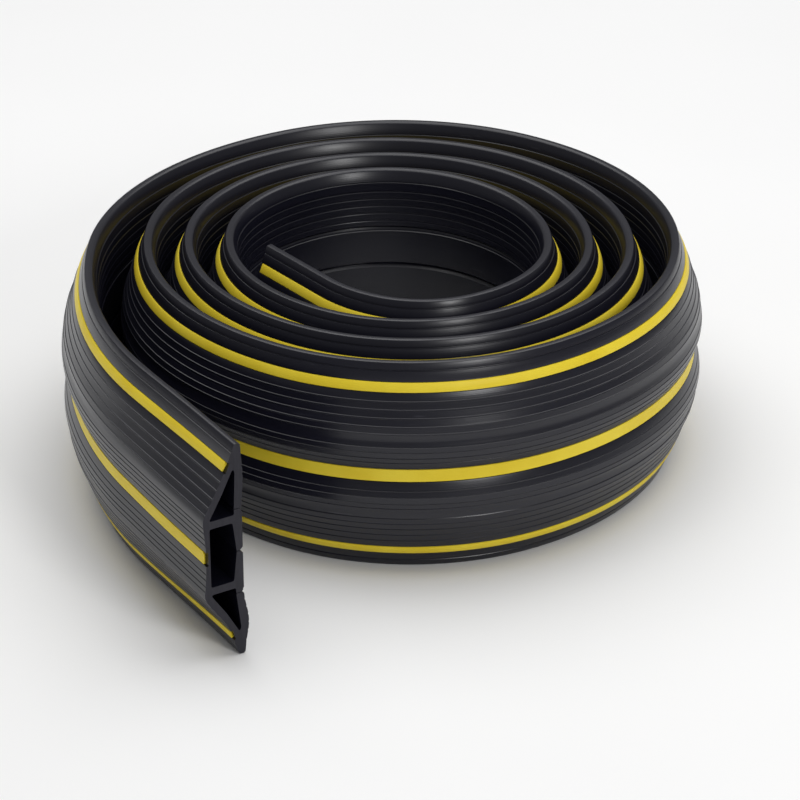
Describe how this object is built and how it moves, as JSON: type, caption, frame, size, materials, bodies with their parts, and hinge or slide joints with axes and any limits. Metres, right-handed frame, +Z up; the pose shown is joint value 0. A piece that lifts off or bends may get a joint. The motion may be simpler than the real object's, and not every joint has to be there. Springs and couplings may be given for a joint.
{
  "type": "cable protector ramp",
  "caption": "Flexible floor cable protector strip with cable channels, slit base and inlay stripes, coiled on its edge with a free tail.",
  "frame": {"origin": "on the floor, under the middle of the coiled strip with its tail", "axes": "+Z up across the strip, which stands on its long edge; +X across the coil away from the tail; -Y the way the tail end points"},
  "size_m": [0.4251, 0.3888, 0.13],
  "materials": {
    "black_rubber": "satin",
    "yellow_inlay": "satin"
  },
  "bodies": {
    "coil": {"coil_turn_1": "black_rubber", "coil_turn_2": "black_rubber", "coil_turn_3": "black_rubber", "coil_turn_4": "black_rubber", "coil_inlay_upper": "yellow_inlay", "coil_inlay_centre": "yellow_inlay", "coil_inlay_lower": "yellow_inlay"},
    "outer_turn": {"outer_turn": "black_rubber", "outer_flex": "black_rubber", "outer_turn_inlay_upper": "yellow_inlay", "outer_turn_inlay_centre": "yellow_inlay", "outer_turn_inlay_lower": "yellow_inlay", "outer_flex_inlay_upper": "yellow_inlay", "outer_flex_inlay_centre": "yellow_inlay", "outer_flex_inlay_lower": "yellow_inlay"},
    "tail": {"tail": "black_rubber", "tail_flex": "black_rubber", "tail_inlay_upper": "yellow_inlay", "tail_inlay_centre": "yellow_inlay", "tail_inlay_lower": "yellow_inlay", "tail_flex_inlay_upper": "yellow_inlay", "tail_flex_inlay_centre": "yellow_inlay", "tail_flex_inlay_lower": "yellow_inlay"},
    "inner_end": {"inner_end": "black_rubber", "inner_flex": "black_rubber", "inner_end_inlay_upper": "yellow_inlay", "inner_end_inlay_centre": "yellow_inlay", "inner_end_inlay_lower": "yellow_inlay", "inner_flex_inlay_upper": "yellow_inlay", "inner_flex_inlay_centre": "yellow_inlay", "inner_flex_inlay_lower": "yellow_inlay"}
  },
  "joints": [
    {"name": "outer_turn_flex", "type": "hinge", "parent": "coil", "child": "outer_turn", "pos_m": [0.12413, 0.15256, 0.065], "axis": [0, 0, 1], "range_deg": [-12, 0], "stiffness_Nm_per_rad": 3, "deforming": ["outer_flex", "outer_flex_inlay_upper", "outer_flex_inlay_centre", "outer_flex_inlay_lower"]},
    {"name": "tail_flex", "type": "hinge", "parent": "outer_turn", "child": "tail", "pos_m": [-0.16939, 0.04485, 0.065], "axis": [0, 0, 1], "range_deg": [-35, 3], "stiffness_Nm_per_rad": 2, "deforming": ["tail_flex", "tail_flex_inlay_upper", "tail_flex_inlay_centre", "tail_flex_inlay_lower"]},
    {"name": "inner_end_flex", "type": "hinge", "parent": "coil", "child": "inner_end", "pos_m": [-0.02146, -0.09219, 0.065], "axis": [0, 0, 1], "range_deg": [-35, 0], "stiffness_Nm_per_rad": 2, "deforming": ["inner_flex", "inner_flex_inlay_upper", "inner_flex_inlay_centre", "inner_flex_inlay_lower"]}
  ]
}
